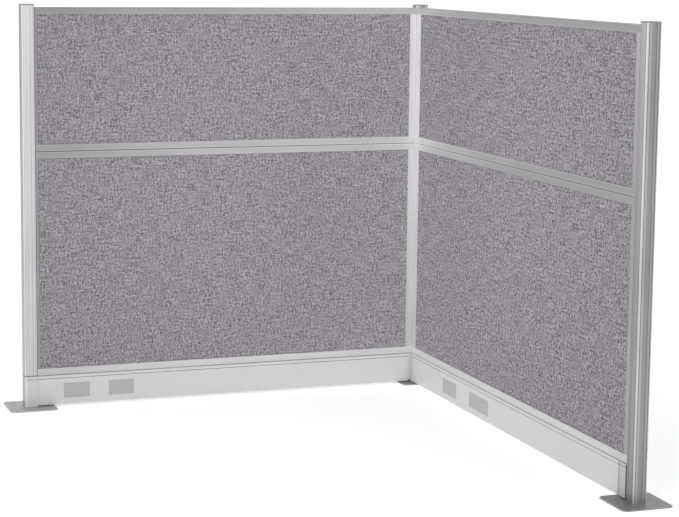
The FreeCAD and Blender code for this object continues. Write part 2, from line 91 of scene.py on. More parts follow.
class Side(Enum):
    """The two sides of a run: the front faces the workstation."""

    FRONT = "front"
    BACK = "back"


class Graph:
    """Node tree of one material, with a short call for each kind of node that the finishes use."""

    def __init__(self, name: str) -> None:
        """Start an empty material.

        Args:
            name: the material's name.
        """
        self.material = bpy.data.materials.new(name)
        self.material.use_nodes = True
        self.tree = self.material.node_tree
        self.tree.nodes.clear()
        self.shader = self.tree.nodes.new("ShaderNodeBsdfPrincipled")
        output = self.tree.nodes.new("ShaderNodeOutputMaterial")
        self.tree.links.new(self.shader.outputs["BSDF"], output.inputs["Surface"])
        self.object_coordinates = self.tree.nodes.new("ShaderNodeTexCoord").outputs["Object"]

    def feed(self, socket: Socket, value: Socket | float | tuple) -> None:
        """Link a socket to another one, or set its constant.

        Args:
            socket: the input to feed.
            value: an output socket, or a constant.
        """
        if isinstance(value, bpy.types.NodeSocket):
            self.tree.links.new(value, socket)
        else:
            socket.default_value = value

    def set(self, **values: Socket | float | tuple) -> None:
        """Feed inputs of the shader, named with underscores for spaces.

        Args:
            values: an output socket or a constant for each input.
        """
        for name, value in values.items():
            self.feed(self.shader.inputs[name.replace("_", " ")], value)

    def place(self, scale: Triple = (1.0, 1.0, 1.0), turn: Triple = (0.0, 0.0, 0.0)) -> Socket:
        """Object coordinates through a Mapping node.

        Args:
            scale: repeats per metre on each axis.
            turn: rotation in radians.

        Returns:
            The vector socket.
        """
        mapping = self.tree.nodes.new("ShaderNodeMapping")
        self.feed(mapping.inputs["Vector"], self.object_coordinates)
        mapping.inputs["Rotation"].default_value = turn
        mapping.inputs["Scale"].default_value = scale
        return mapping.outputs["Vector"]

    def noise(self, vector: Socket, scale: float, detail: float, roughness: float = 0.5) -> Socket:
        """Noise between 0 and 1.

        Args:
            vector: where to sample it.
            scale: its size.
            detail: its octaves.
            roughness: how strong the finer octaves are.

        Returns:
            The factor socket.
        """
        node = self.tree.nodes.new("ShaderNodeTexNoise")
        self.feed(node.inputs["Vector"], vector)
        node.inputs["Scale"].default_value = scale
        node.inputs["Detail"].default_value = detail
        node.inputs["Roughness"].default_value = roughness
        return node.outputs["Fac"]

    def flat_noise(self, across: Socket, up: Socket, repeats: float, rows: float) -> Socket:
        """Noise on a flat pattern, even at a large scale.

        Args:
            across: first coordinate.
            up: second coordinate.
            repeats: its repeats per metre on the first one.
            rows: its repeats per metre on the second one.

        Returns:
            The factor socket.
        """
        node = self.tree.nodes.new("ShaderNodeTexNoise")
        node.noise_dimensions = "2D"
        join = self.tree.nodes.new("ShaderNodeCombineXYZ")
        self.feed(join.inputs["X"], self.math("MULTIPLY", across, repeats))
        self.feed(join.inputs["Y"], self.math("MULTIPLY", up, rows))
        self.feed(node.inputs["Vector"], join.outputs["Vector"])
        node.inputs["Scale"].default_value = 1.0
        node.inputs["Detail"].default_value = 1.0
        return node.outputs["Fac"]

    def ripple(self, value: Socket, repeats: float) -> Socket:
        """Return the sine of a coordinate, with a number of waves per metre."""
        return self.math("SINE", self.math("MULTIPLY", value, repeats * 2.0 * math.pi))

    def math(self, operation: str, first: Socket | float, second: Socket | float = 0.0) -> Socket:
        """One step of arithmetic.

        Args:
            operation: the Math node's operation.
            first: first operand.
            second: second operand.

        Returns:
            The value socket.
        """
        node = self.tree.nodes.new("ShaderNodeMath")
        node.operation = operation
        self.feed(node.inputs[0], first)
        self.feed(node.inputs[1], second)
        return node.outputs[0]

    def product(self, *factors: Socket) -> Socket:
        """Multiply several factors.

        Args:
            factors: the value sockets.

        Returns:
            The value socket.
        """
        total = factors[0]
        for factor in factors[1:]:
            total = self.math("MULTIPLY", total, factor)
        return total

    def spread(self, value: Socket, low: float, high: float, new_low: float,
               new_high: float) -> Socket:
        """Map a value's range onto another, clamped.

        Args:
            value: the value to map.
            low: its low end.
            high: its high end.
            new_low: what the low end becomes.
            new_high: what the high end becomes.

        Returns:
            The value socket.
        """
        node = self.tree.nodes.new("ShaderNodeMapRange")
        self.feed(node.inputs["Value"], value)
        node.inputs["From Min"].default_value = low
        node.inputs["From Max"].default_value = high
        node.inputs["To Min"].default_value = new_low
        node.inputs["To Max"].default_value = new_high
        return node.outputs["Result"]

    def blend(self, factor: Socket, first: Socket | Triple, second: Socket | Triple) -> Socket:
        """Mix two colours.

        Args:
            factor: the share of the second one.
            first: first colour.
            second: second colour.

        Returns:
            The colour socket.
        """
        node = self.tree.nodes.new("ShaderNodeMix")
        node.data_type = "RGBA"
        self.feed(node.inputs["Factor"], factor)
        for index, colour in zip(MIX_COLOURS, (first, second)):
            linked = isinstance(colour, bpy.types.NodeSocket)
            self.feed(node.inputs[index], colour if linked else (*colour, 1.0))
        return node.outputs[MIX_RESULT]

    def scale_colour(self, colour: Socket | Triple, factor: Socket) -> Socket:
        """Make a colour darker or lighter by a factor that varies.

        Args:
            colour: the colour.
            factor: what multiplies it.

        Returns:
            The colour socket.
        """
        node = self.tree.nodes.new("ShaderNodeVectorMath")
        node.operation = "SCALE"
        self.feed(node.inputs[0], colour)
        self.feed(node.inputs["Scale"], factor)
        return node.outputs[0]

    def bump(self, height: Socket, distance: float, strength: float,
             under: Socket | None = None) -> Socket:
        """Bump from a height, on top of another bump if one is given.

        Args:
            height: the height between 0 and 1.
            distance: what a height of 1 stands for, in metres.
            strength: how much of it shows.
            under: the normal beneath it.

        Returns:
            The normal socket.
        """
        node = self.tree.nodes.new("ShaderNodeBump")
        node.inputs["Distance"].default_value = distance
        node.inputs["Strength"].default_value = strength
        self.feed(node.inputs["Height"], height)
        if under is not None:
            self.feed(node.inputs["Normal"], under)
        return node.outputs["Normal"]

    def signed_distance(self, lie: Lie, origin: float = 0.0) -> Socket:
        """Object coordinate on one axis, counted from a place on it.

        Args:
            lie: the axis.
            origin: the place that it is counted from.

        Returns:
            The value socket.
        """
        node = self.tree.nodes.new("ShaderNodeSeparateXYZ")
        self.feed(node.inputs[0], self.object_coordinates)
        return self.math("SUBTRACT", node.outputs[lie.value], origin)

    def distance(self, lie: Lie, origin: float = 0.0) -> Socket:
        """Return the distance on one axis from a place on it, whichever way."""
        return self.math("ABSOLUTE", self.signed_distance(lie, origin))

    def line(self, value: Socket, middle: float, half_width: float, factor: float) -> Socket:
        """Return a factor that is 1 except on a soft-edged line across a value."""
        away = self.math("ABSOLUTE", self.math("SUBTRACT", value, middle))
        return self.spread(away, *(half_width * part for part in LINE_EDGE), factor, 1.0)


def grey(value: float) -> Triple:
    """Return a neutral grey."""
    return value, value, value


def shade(colour: Triple, factor: float) -> Triple:
    """Return a colour made darker or lighter by a factor."""
    return tuple(min(1.0, channel * factor) for channel in colour)


def shades(colour: Triple, factors: Pair) -> list[Triple]:
    """Return a colour's two shades."""
    return [shade(colour, factor) for factor in factors]


def stretched(lie: Lie, fine: float, coarse: float) -> Triple:
    """Return the scale of a pattern that is coarse along one axis and fine across it."""
    return tuple(coarse if lie is axis else fine for axis in Lie)


@dataclass(frozen=True)
class DrawnAluminium:
    """Satin anodised extrusion: fine die lines, soft handling marks, a matt grain, a drifting tone.

    Each edge line is a height and what the tone is multiplied by there, as on a rail's lip:
    a painted highlight where the factor is above 1, painted shade where it is below. The drifting
    tone, colour by the corner and far_colour further along, is painted light and shade too.
    """

    name: str
    lie: Lie
    colour: Triple
    far_colour: Triple
    # colour by the corner fading to far_colour further along: painted light and shade
    reach: Pair = (0.05, 1.5)
    fade: float = 1.0
    roughness: float = 0.40
    metallic: float = 0.35
    die_lines: float = 520.0
    die_line_run: float = 1.5
    die_line_tones: Pair = (0.94, 1.05)
    die_line_gloss: Pair = (-0.05, 0.05)
    die_line_height: float = 0.00006
    marks: float = 4.0
    mark_stretch: Pair = (2.4, 0.9)
    mark_cover: Pair = (0.42, 0.66)
    mark_shade: float = 0.93
    mark_gloss: Pair = (-0.04, 0.06)
    grain: float = 1800.0
    grain_height: float = 0.00003
    # edge lines: painted highlights and painted shade along a rail's lips
    edge_lines: tuple[Pair, ...] = ()
    edge_half_width: float = 0.0021

    def tone(self, graph: Graph) -> Socket:
        """Tone beneath the lines and marks.

        Args:
            graph: the material's node tree.

        Returns:
            The colour socket.
        """
        # lighter by the corner, darker further along: painted light and shade
        near = graph.spread(graph.distance(self.lie), *self.reach, 1.0, 0.0)
        body = graph.blend(graph.math("POWER", near, self.fade), self.far_colour, self.colour)
        if not self.edge_lines:
            return body
        # painted highlight and painted shade lines at the given heights
        height = graph.distance(Lie.UPRIGHT)
        lines = [graph.line(height, place, self.edge_half_width, gain)
                 for place, gain in self.edge_lines]
        return graph.scale_colour(body, graph.product(*lines))

    def build(self) -> bpy.types.Material:
        """Build the finished material.

        Returns:
            The material.
        """
        graph = Graph(self.name)
        tone = self.tone(graph)
        die_scale = stretched(self.lie, self.die_lines, self.die_line_run)
        lines = graph.noise(graph.place(die_scale), 1.0, detail=3.0, roughness=0.6)
        marks = graph.noise(graph.place(stretched(self.lie, *self.mark_stretch)), self.marks,
                            detail=3.0)
        grain = graph.noise(graph.place(), self.grain, detail=1.0)
        body = graph.scale_colour(tone, graph.spread(lines, *NOISE_SPAN, *self.die_line_tones))
        worn = graph.scale_colour(body, graph.spread(marks, *self.mark_cover, 1.0, self.mark_shade))
        mark_gloss = (self.roughness + step for step in self.mark_gloss)
        rough = graph.math("ADD", graph.spread(lines, *NOISE_SPAN, *self.die_line_gloss),
                           graph.spread(marks, *NOISE_SPAN, *mark_gloss))
        matt = graph.bump(grain, self.grain_height, strength=0.25)
        graph.set(Base_Color=worn, Metallic=self.metallic, Roughness=rough,
                  Normal=graph.bump(lines, self.die_line_height, strength=0.35, under=matt))
        return graph.material


@dataclass(frozen=True)
class PostAluminium(DrawnAluminium):
    """Slotted post's aluminium with painted light: a painted highlight on each rounded corner and
    painted shade on a line beside it.

    The two colours are those of the Y faces, low and high up; the X faces have theirs. Faces and
    heights differ as painted light and shade, and the outer side and the joint above the cover
    get painted shade.
    """

    axis: Pair = (0.0, 0.0)
    side_colour: Triple = (0.5, 0.5, 0.5)
    side_far_colour: Triple = (0.5, 0.5, 0.5)
    corner: float = 0.0196
    corner_softness: float = 0.0005
    corner_gain: float = 1.1
    line_middle: float = 0.0178
    line_half_width: float = 0.0014
    line_shade: float = 0.85
    outer_reach: Pair = (-0.012, 0.022)
    outer_shade: float = 0.92
    joint_height: float = 0.1226
    joint_half_width: float = 0.0024
    joint_shade: float = 1.0

    def tone(self, graph: Graph) -> Socket:
        """Tone beneath the lines and marks.

        Args:
            graph: the material's node tree.

        Returns:
            The colour socket.
        """
        height = graph.distance(Lie.UPRIGHT)
        rise = graph.spread(height, *self.reach, 0.0, 1.0)
        across = [graph.distance(lie, place)
                  for lie, place in zip((Lie.ALONG_X, Lie.ALONG_Y), self.axis)]
        # face and side tones change with height and differ by face: painted light and shade
        face = graph.blend(rise, self.colour, self.far_colour)
        side = graph.blend(rise, self.side_colour, self.side_far_colour)
        from_middle = graph.math("MINIMUM", *across)
        outwards = graph.signed_distance(Lie.ALONG_X, self.axis[0])
        # painted highlight on the corners; painted shade on the lines beside them, at the joint and
        # on the outer side
        factor = graph.product(
            graph.spread(from_middle, self.corner - self.corner_softness,
                         self.corner + self.corner_softness, 1.0, self.corner_gain),
            graph.line(from_middle, self.line_middle, self.line_half_width, self.line_shade),
            graph.line(height, self.joint_height, self.joint_half_width, self.joint_shade),
            graph.spread(outwards, *self.outer_reach, 1.0, self.outer_shade))
        body = graph.blend(graph.math("GREATER_THAN", *across), face, side)
        return graph.scale_colour(body, factor)


@dataclass(frozen=True)
class PaintedSheet:
    """Satin paint on sheet metal: orange peel, mottling, painted shade in the groove with a painted
    highlight below it, scuffs low down.
    """

    name: str
    colour: Triple
    tones: Pair = (0.965, 1.02)
    gloss: Pair = (0.34, 0.46)
    mottle: float = 9.0
    peel: float = 420.0
    peel_height: float = 0.00008
    scuff_colour: Triple = (0.50, 0.50, 0.49)
    scuff_scale: Triple = (22.0, 22.0, 160.0)
    scuff_heights: Pair = (0.006, 0.045)
    scuff_cover: Pair = (0.54, 0.70)
    scuff_strength: float = 0.55
    # the groove's painted shade and, below it, the edge's painted highlight
    groove: float = 0.1091
    groove_half_width: float = 0.0014
    groove_shade: float = 0.45
    edge: float = 0.1056
    edge_half_width: float = 0.0020
    edge_gain: float = 1.05
    # a painted shadow along the joint, where there is one
    joint: float | None = None
    joint_half_width: float = 0.0045
    joint_shade: float = 0.72
    # a painted highlight along an upright edge, where there is one
    highlight_edge: float | None = None
    highlight_half_width: float = 0.0025
    highlight_gain: float = 1.42

    def lines(self, graph: Graph) -> Socket:
        """Factor of the painted shade in the groove, the painted highlight at its edge, and the
        painted shadow at the joint and the painted highlight along an upright edge where there is
        one.

        Args:
            graph: the material's node tree.

        Returns:
            The value socket.
        """
        height = graph.distance(Lie.UPRIGHT)
        lines = [graph.line(height, self.groove, self.groove_half_width, self.groove_shade),
                 graph.line(height, self.edge, self.edge_half_width, self.edge_gain)]
        if self.joint is not None:
            lines.append(graph.line(graph.distance(Lie.ALONG_Y), self.joint,
                                    self.joint_half_width, self.joint_shade))
        if self.highlight_edge is not None:
            lines.append(graph.line(graph.distance(Lie.ALONG_X), self.highlight_edge,
                                    self.highlight_half_width, self.highlight_gain))
        return graph.product(*lines)

    def build(self) -> bpy.types.Material:
        """Build the finished material.

        Returns:
            The material.
        """
        graph = Graph(self.name)
        mottle = graph.noise(graph.place(), self.mottle, detail=4.0)
        peel = graph.noise(graph.place(), self.peel, detail=2.0)
        scratch = graph.noise(graph.place(self.scuff_scale), 1.0, detail=4.0, roughness=0.7)
        low = graph.spread(graph.distance(Lie.UPRIGHT), *self.scuff_heights, 1.0, 0.0)
        scuffs = graph.spread(scratch, *self.scuff_cover, 0.0, self.scuff_strength)
        body = graph.blend(mottle, *shades(self.colour, self.tones))
        body = graph.blend(graph.math("MULTIPLY", low, scuffs), body, self.scuff_colour)
        graph.set(Base_Color=graph.scale_colour(body, self.lines(graph)), Metallic=0.0,
                  Roughness=graph.spread(mottle, *NOISE_SPAN, *self.gloss),
                  Specular_IOR_Level=0.5,
                  Normal=graph.bump(peel, self.peel_height, strength=0.3))
        return graph.material


@dataclass(frozen=True)
class MouldedPlastic:
    """Moulded plastic with a fine spark texture and a slight flow variation."""

    name: str
    colour: Triple
    roughness: float = 0.5
    texture: float = 900.0
    texture_height: float = 0.00012
    flow: float = 14.0
    flow_stretch: Triple = (1.0, 1.0, 2.5)
    flow_tones: Pair = (0.94, 1.05)
    flow_gloss: Pair = (-0.05, 0.07)
    speckle_cover: Pair = (0.35, 0.65)
    speckle_strength: float = 0.25
    speckle_shade: float = 0.88

    def build(self) -> bpy.types.Material:
        """Build the finished material.

        Returns:
            The material.
        """
        graph = Graph(self.name)
        flow = graph.noise(graph.place(self.flow_stretch), self.flow, detail=3.0)
        texture = graph.noise(graph.place(), self.texture, detail=2.0, roughness=0.6)
        body = graph.blend(flow, *shades(self.colour, self.flow_tones))
        speckles = graph.spread(texture, *self.speckle_cover, 0.0, self.speckle_strength)
        gloss = (self.roughness + step for step in self.flow_gloss)
        graph.set(Base_Color=graph.blend(speckles, body, shade(self.colour, self.speckle_shade)),
                  Roughness=graph.spread(flow, *NOISE_SPAN, *gloss),
                  Normal=graph.bump(texture, self.texture_height, strength=0.4))
        return graph.material


@dataclass(frozen=True)
class BrushedSteel:
    """Brushed steel plate: hair lines one way, cloudy wear and small scratches across."""

    name: str
    lie: Lie
    colour: Triple
    roughness: float = 0.36
    metallic: float = 0.4
    hair: float = 1400.0
    hair_run: float = 9.0
    hair_tones: Pair = (0.86, 1.08)
    hair_height: float = 0.00004
    wear: float = 26.0
    wear_cover: Pair = (0.45, 0.7)
    wear_strength: float = 0.3
    wear_shade: float = 0.75
    wear_gloss: Pair = (-0.05, 0.09)
    scratch_scale: Triple = (60.0, 900.0, 60.0)
    scratch_turn: Triple = (0.0, 0.0, 0.6)
    scratch_cover: Pair = (0.62, 0.72)
    scratch_gloss: float = 0.12
    scratch_height: float = 0.00003

    def build(self) -> bpy.types.Material:
        """Build the finished material.

        Returns:
            The material.
        """
        graph = Graph(self.name)
        hair_scale = stretched(self.lie, self.hair, self.hair_run)
        hair = graph.noise(graph.place(hair_scale), 1.0, detail=3.0, roughness=0.65)
        wear = graph.noise(graph.place(), self.wear, detail=4.0, roughness=0.6)
        scratches = graph.noise(graph.place(self.scratch_scale, self.scratch_turn), 1.0, detail=2.0)
        body = graph.blend(graph.spread(hair, *NOISE_SPAN, 0.0, 1.0),
                           *shades(self.colour, self.hair_tones))
        worn = graph.blend(graph.spread(wear, *self.wear_cover, 0.0, self.wear_strength), body,
                           shade(self.colour, self.wear_shade))
        wear_gloss = (self.roughness + step for step in self.wear_gloss)
        rough = graph.math("ADD", graph.spread(wear, *NOISE_SPAN, *wear_gloss),
                           graph.spread(scratches, *self.scratch_cover, 0.0, self.scratch_gloss))
        scratched = graph.bump(scratches, self.scratch_height, strength=0.2)
        graph.set(Base_Color=worn, Metallic=self.metallic, Roughness=rough,
                  Normal=graph.bump(hair, self.hair_height, strength=0.3, under=scratched))
        return graph.material


@dataclass(frozen=True)
class HeatherWeave:
    """Heathered panel fabric: a plain weave whose yarns change shade along their length.

    Warp, weft, their slubs, the flecks and the patches are noises, each given by its repeats per
    metre across and up. The gains are painted light: what the tone is multiplied by near the
    corner, lighter there against the corner's shade, and further along the run. The darker gaps
    between the yarns are painted shade.
    """

    name: str
    lie: Lie
    colour: Triple
    fleck_length: float = 1.0
    yarns_per_metre: float = 560.0
    warp: Pair = (205.0, 105.0)
    warp_slub: Pair = (230.0, 20.0)
    weft: Pair = (130.0, 165.0)
    weft_slub: Pair = (20.0, 230.0)
    flecks: Pair = (178.0, 130.0)
    patches: Pair = (16.0, 16.0)
    yarn_share: float = 0.33
    fleck_share: float = 0.34
    crossing: float = 0.15
    patch_gains: Pair = (0.70, 1.36)
    ribs_per_metre: float = 64.0
    rib_share: float = 0.005
    tone_reach: float = 0.11
    contrast: float = 0.55
    gap_reach: float = 0.35
    gap_shade: float = 0.72
    weave_height: float = 0.0004
    fleck_height: float = 0.0006
    gloss: Pair = (0.95, 0.86)
    # painted light: the gains by the corner and further along the run
    corner_gain: float = 1.0
    far_gain: float = 1.0
    reach: Pair = (0.05, 0.47)

    def build(self) -> bpy.types.Material:
        """Build the finished material.

        Returns:
            The material.
        """
        graph = Graph(self.name)
        across, up = graph.signed_distance(self.lie), graph.signed_distance(Lie.UPRIGHT)
        wave = [graph.ripple(axis, self.yarns_per_metre / 2) for axis in (across, up)]
        column, row = (graph.math("SNAP", axis, 1.0 / self.yarns_per_metre)
                       for axis in (across, up))
        warp, warp_slub, weft, weft_slub, flecks, patches = (
            graph.flat_noise(column, row, repeats / self.fleck_length, rows)
            for repeats, rows in (self.warp, self.warp_slub, self.weft, self.weft_slub,
                                  self.flecks, self.patches))
        over = graph.spread(graph.math("MULTIPLY", *wave), -self.crossing, self.crossing,
                            0.0, self.yarn_share)
        under = graph.math("SUBTRACT", self.yarn_share, over)
        yarn = graph.math("ADD", graph.math("MULTIPLY", graph.math("ADD", warp, warp_slub), over),
                          graph.math("MULTIPLY", graph.math("ADD", weft, weft_slub), under))
        tone = graph.math("ADD", yarn, graph.math("MULTIPLY", flecks, self.fleck_share))
        tone = graph.math("MULTIPLY", graph.math("SUBTRACT", tone, NOISE_MIDDLE),
                          graph.spread(patches, *NOISE_SPAN, *self.patch_gains))
        ribs = graph.math("MULTIPLY", graph.ripple(up, self.ribs_per_metre), self.rib_share)
        tone = graph.spread(graph.math("ADD", tone, ribs), -self.tone_reach, self.tone_reach,
                            0.0, 1.0)
        body = graph.blend(tone, *shades(self.colour, (1.0 - self.contrast, 1.0 + self.contrast)))
        crest = [graph.math("ABSOLUTE", slope) for slope in wave]
        # painted light: lighter by the corner, darker further along; gaps: painted shade between
        # the yarns
        painted_drift = graph.spread(graph.distance(self.lie), *self.reach, self.corner_gain, self.far_gain)
        gaps = graph.spread(graph.product(*crest), 0.0, self.gap_reach, self.gap_shade, 1.0)
        nap = graph.bump(flecks, self.fleck_height, strength=0.35)
        graph.set(Base_Color=graph.scale_colour(body, graph.product(gaps, painted_drift)),
                  Roughness=graph.spread(tone, 0.0, 1.0, *self.gloss),
                  Sheen_Weight=0.08, Sheen_Roughness=0.5, Specular_IOR_Level=0.2,
                  Normal=graph.bump(graph.math("ADD", *crest), self.weave_height, strength=0.5,
                                    under=nap))
        return graph.material


@dataclass(frozen=True)
class HoneycombBoard:
    """Pressed board with paper fibres and a faint print of its cells."""

    name: str
    colour: Triple
    cell: float = 90.0
    wall: Pair = (0.02, 0.09)
    wall_strength: float = 0.4
    wall_shade: float = 0.7
    wall_height: float = 0.0004
    fibre_scale: Triple = (300.0, 300.0, 60.0)
    fibre_tones: Pair = (0.86, 1.1)
    gloss: Pair = (0.8, 0.93)

    def build(self) -> bpy.types.Material:
        """Build the finished material.

        Returns:
            The material.
        """
        graph = Graph(self.name)
        cells = graph.tree.nodes.new("ShaderNodeTexVoronoi")
        cells.feature = "DISTANCE_TO_EDGE"
        cells.inputs["Scale"].default_value = self.cell
        graph.feed(cells.inputs["Vector"], graph.place())
        walls = graph.spread(cells.outputs["Distance"], *self.wall, 1.0, 0.0)
        fibre = graph.noise(graph.place(self.fibre_scale), 1.0, detail=3.0)
        body = graph.blend(fibre, *shades(self.colour, self.fibre_tones))
        printed = graph.math("MULTIPLY", walls, self.wall_strength)
        graph.set(Base_Color=graph.blend(printed, body, shade(self.colour, self.wall_shade)),
                  Roughness=graph.spread(fibre, *NOISE_SPAN, *self.gloss),
                  Normal=graph.bump(walls, self.wall_height, strength=0.4))
        return graph.material


@dataclass(frozen=True)
class MattRubber:
    """Extruded rubber with a dusty bloom and fine lines along it."""

    name: str
    colour: Triple
    bloom: float = 30.0
    bloom_colour: Triple = (0.16, 0.16, 0.16)
    bloom_cover: Pair = (0.4, 0.75)
    bloom_strength: float = 0.5
    line_scale: Triple = (8.0, 8.0, 1500.0)
    line_height: float = 0.0001
    gloss: Pair = (0.72, 0.88)

    def build(self) -> bpy.types.Material:
        """Build the finished material.

        Returns:
            The material.
        """
        graph = Graph(self.name)
        bloom = graph.noise(graph.place(), self.bloom, detail=4.0)
        lines = graph.noise(graph.place(self.line_scale), 1.0, detail=2.0)
        dust = graph.spread(bloom, *self.bloom_cover, 0.0, self.bloom_strength)
        graph.set(Base_Color=graph.blend(dust, self.colour, self.bloom_colour),
                  Roughness=graph.spread(bloom, *NOISE_SPAN, *self.gloss),
                  Normal=graph.bump(lines, self.line_height, strength=0.4))
        return graph.material


def dress(node: str, material: bpy.types.Material) -> None:
    """Give a CAD node one material.

    Args:
        node: the node's name.
        material: what covers it.
    """
    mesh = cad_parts[node].data
    mesh.materials.clear()
    mesh.materials.append(material)
    LOG.info("dressed %s in %s", node, material.name)


def link(name: str, data: bpy.types.ID) -> bpy.types.Object:
    """Put a new object in the scene.

    Args:
        name: the object's name.
        data: its mesh, lamp or camera.

    Returns:
        The object.
    """
    thing = bpy.data.objects.new(name, data)
    bpy.context.scene.collection.objects.link(thing)
    return thing


@dataclass(frozen=True)
class PostLook:
    """Tones of one post, low and high up, and the shades of its lines, strips and outer side, all
    painted light and shade, with its foot plate's tone, also painted light.
    """

    name: str
    face_tones: Pair
    side_tones: Pair
    strip_shade: float
    corner_gain: float
    line_shade: float
    outer_shade: float
    joint_shade: float
    plate_tone: float


@dataclass
class SlottedPosts:
    """The three slotted posts with their caps, slot strips, floor plates and screws."""

    posts: tuple[PostLook, ...] = (
        PostLook("left", face_tones=(0.55, 0.66), side_tones=(0.42, 0.30), strip_shade=0.97,
                 corner_gain=1.12, line_shade=0.90, outer_shade=0.95, joint_shade=0.40,
                 plate_tone=0.46),
        PostLook("corner", face_tones=(0.50, 0.60), side_tones=(0.50, 0.60), strip_shade=0.95,
                 corner_gain=1.08, line_shade=0.90, outer_shade=1.00, joint_shade=1.00,
                 plate_tone=0.32),
        PostLook("right", face_tones=(0.39, 0.365), side_tones=(0.27, 0.475), strip_shade=0.74,
                 corner_gain=1.46, line_shade=0.66, outer_shade=0.73, joint_shade=1.00,
                 plate_tone=0.27),
    )
    cap: MouldedPlastic = MouldedPlastic("cap_plastic", grey(0.25))
    screw: BrushedSteel = BrushedSteel("screw_zinc", Lie.UPRIGHT, (0.62, 0.62, 0.60), roughness=0.3)

    def aluminium(self, look: PostLook, part: str, face_shade: float) -> PostAluminium:
        """Finish of a post or of its slot strips.

        Args:
            look: the post's look.
            part: what the finish is for.
            face_shade: what its Y faces are darkened by, a painted shade.

        Returns:
            The finish.
        """
        low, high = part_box("post_" + look.name)
        axis = (low + high) / 2
        face = [grey(tone * face_shade) for tone in look.face_tones]
        side = [grey(tone) for tone in look.side_tones]
        return PostAluminium(
            f"{look.name}_{part}_aluminium", Lie.UPRIGHT, *face, axis=(axis.x, axis.y),
            side_colour=side[0], side_far_colour=side[1], corner_gain=look.corner_gain,
            line_shade=look.line_shade, outer_shade=look.outer_shade, joint_shade=look.joint_shade)

    def dress_all(self) -> None:
        """Dress every node of the posts."""
        cap = self.cap.build()
        for look in self.posts:
            dress("post_" + look.name, self.aluminium(look, "post", 1.0).build())
            strips = self.aluminium(look, "strip", look.strip_shade)
            dress("slot_strips_" + look.name, strips.build())
            dress("post_cap_" + look.name, cap)
            # one steel in each post's own tone: painted light and shade
            plate = BrushedSteel(look.name + "_plate_steel", Lie.ALONG_X, grey(look.plate_tone))
            dress("foot_" + look.name, plate.build())
        dress("post_screws", self.screw.build())


@dataclass
class StackedFrames:
    """Rails and stiles of one run's two stacked frames, and the boards that they hold.

    A rail's two tones are those by the corner and at the far end, a stile's those low and high up.
    These differences, the lip gains and the crest shade are painted light and shade.
    """

    run: Run
    reach: Pair
    fade: float
    top_tones: Pair
    middle_tones: Pair
    bottom_tones: Pair
    corner_stile_tones: Pair
    end_stile_tones: Pair
    # painted highlights along the lips
    top_lip_gain: float
    middle_lip_gain: float
    groove_lip_gain: float
    lip_inset: float = 0.0021
    # painted shade along the top crest
    crest_shade: float = 0.88
    board: HoneycombBoard = HoneycombBoard("panel_board", (0.42, 0.33, 0.22))

    def rail(self, place: str, tones: Pair) -> None:
        """Dress one rail, with painted highlight and painted shade lines along its lips.

        Args:
            place: the rail's level and whether it is the top or the bottom one.
            tones: its tones by the corner and at the far end.
        """
        node = f"{self.run.value}_{place}_rail"
        low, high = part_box(node)
        crest, foot = high.z - self.lip_inset, low.z + self.lip_inset
        lines = {"upper_top": ((crest, self.crest_shade), (foot, self.top_lip_gain)),
                 "upper_bottom": ((crest, self.middle_lip_gain), (foot, self.groove_lip_gain)),
                 "lower_top": ((crest, self.groove_lip_gain),)}
        finish = DrawnAluminium(node + "_aluminium", self.run.lie, *map(grey, tones),
                                reach=self.reach, fade=self.fade, edge_lines=lines.get(place, ()))
        dress(node, finish.build())

    def dress_all(self) -> None:
        """Dress every rail, stile and board of the run."""
        run = self.run.value
        self.rail("upper_top", self.top_tones)
        self.rail("upper_bottom", self.middle_tones)
        self.rail("lower_top", self.middle_tones)
        self.rail("lower_bottom", self.bottom_tones)
        board = self.board.build()
        # stile tones low and high, and the darker end stiles: painted light and shade
        stiles = {"corner": self.corner_stile_tones, "end": self.end_stile_tones}
        for place, tones in stiles.items():
            finish = DrawnAluminium(f"{run}_{place}_stile_aluminium", Lie.UPRIGHT,
                                    *map(grey, tones))
            stile = finish.build()
            for level in Level:
                dress(f"{run}_{level.value}_{place}_stile", stile)
        for level in Level:
            dress(f"{run}_{level.value}_core", board)


